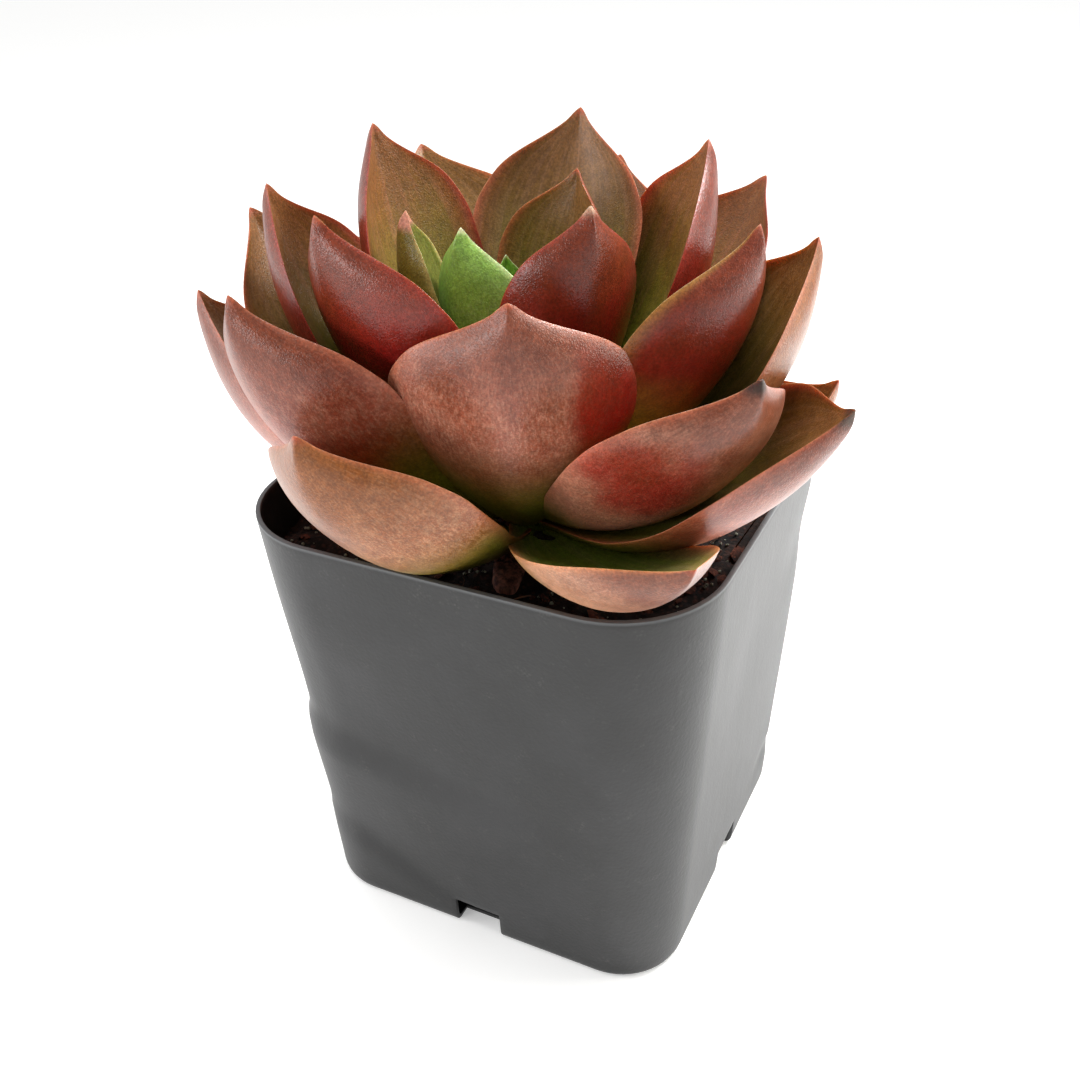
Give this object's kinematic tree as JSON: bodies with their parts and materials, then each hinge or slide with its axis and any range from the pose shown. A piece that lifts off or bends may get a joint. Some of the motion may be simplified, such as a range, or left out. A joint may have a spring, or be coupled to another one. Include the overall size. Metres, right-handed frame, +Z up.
{
  "type": "potted succulent",
  "caption": "Rosette succulent with plump pointed leaves on a short stem, growing in soil in a small square tapered plastic nursery pot.",
  "frame": {"origin": "middle of the pot's flat underside, on the ground", "axes": "+Z up, X and Y square to the pot's side walls; -Y is the front, the side whose wall the stem stands nearest"},
  "size_m": [0.0751, 0.0663, 0.0959],
  "materials": {
    "pot_plastic": "satin",
    "soil_mix": "matte",
    "stem_bark": "matte",
    "leaf_skin": "satin",
    "young_leaf_skin": "satin"
  },
  "bodies": {
    "root": {"pot": "pot_plastic", "soil": "soil_mix", "stem": "stem_bark", "outer_leaf_01": "leaf_skin", "outer_leaf_02": "leaf_skin", "outer_leaf_03": "leaf_skin", "outer_leaf_04": "leaf_skin", "outer_leaf_05": "leaf_skin", "outer_leaf_06": "leaf_skin", "outer_leaf_07": "leaf_skin", "outer_leaf_08": "leaf_skin", "outer_leaf_09": "leaf_skin", "outer_leaf_10": "leaf_skin", "outer_leaf_11": "leaf_skin", "outer_leaf_12": "leaf_skin", "middle_leaf_01": "leaf_skin", "middle_leaf_02": "leaf_skin", "middle_leaf_03": "leaf_skin", "middle_leaf_04": "leaf_skin", "middle_leaf_05": "leaf_skin", "middle_leaf_06": "leaf_skin", "middle_leaf_07": "leaf_skin", "middle_leaf_08": "leaf_skin", "middle_leaf_09": "leaf_skin", "middle_leaf_10": "leaf_skin", "middle_leaf_11": "leaf_skin", "inner_leaf_01": "leaf_skin", "inner_leaf_02": "leaf_skin", "inner_leaf_03": "leaf_skin", "inner_leaf_04": "leaf_skin", "bud_leaf_01": "young_leaf_skin", "bud_leaf_02": "young_leaf_skin", "bud_leaf_03": "young_leaf_skin", "bud_leaf_04": "young_leaf_skin"}
  },
  "joints": []
}
